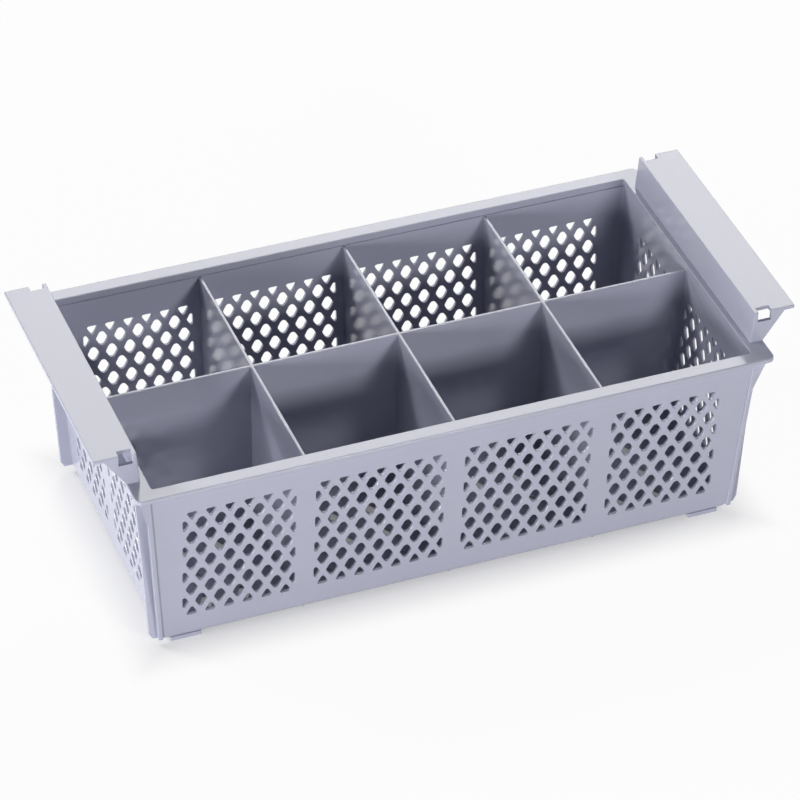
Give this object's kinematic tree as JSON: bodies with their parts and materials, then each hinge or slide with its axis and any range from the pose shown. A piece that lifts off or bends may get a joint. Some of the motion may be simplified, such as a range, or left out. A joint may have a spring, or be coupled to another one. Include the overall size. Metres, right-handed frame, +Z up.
{
  "type": "dishwasher cutlery basket",
  "caption": "Half-size cutlery basket for a dishwasher rack: a drafted open box with pierced diamond lattice walls, crossed dividers, a flanged rim and a ledge handle at each short end.",
  "frame": {"origin": "on the surface that the feet stand on, under the middle of the basket", "axes": "+X along the length, from one handle to the other; +Y across the width; +Z up"},
  "size_m": [0.43, 0.2074, 0.143],
  "materials": {
    "grey_polypropylene": "satin moulded polypropylene, cool grey, with faint flow marks"
  },
  "bodies": {
    "root": {"basket": "grey_polypropylene"}
  },
  "joints": []
}
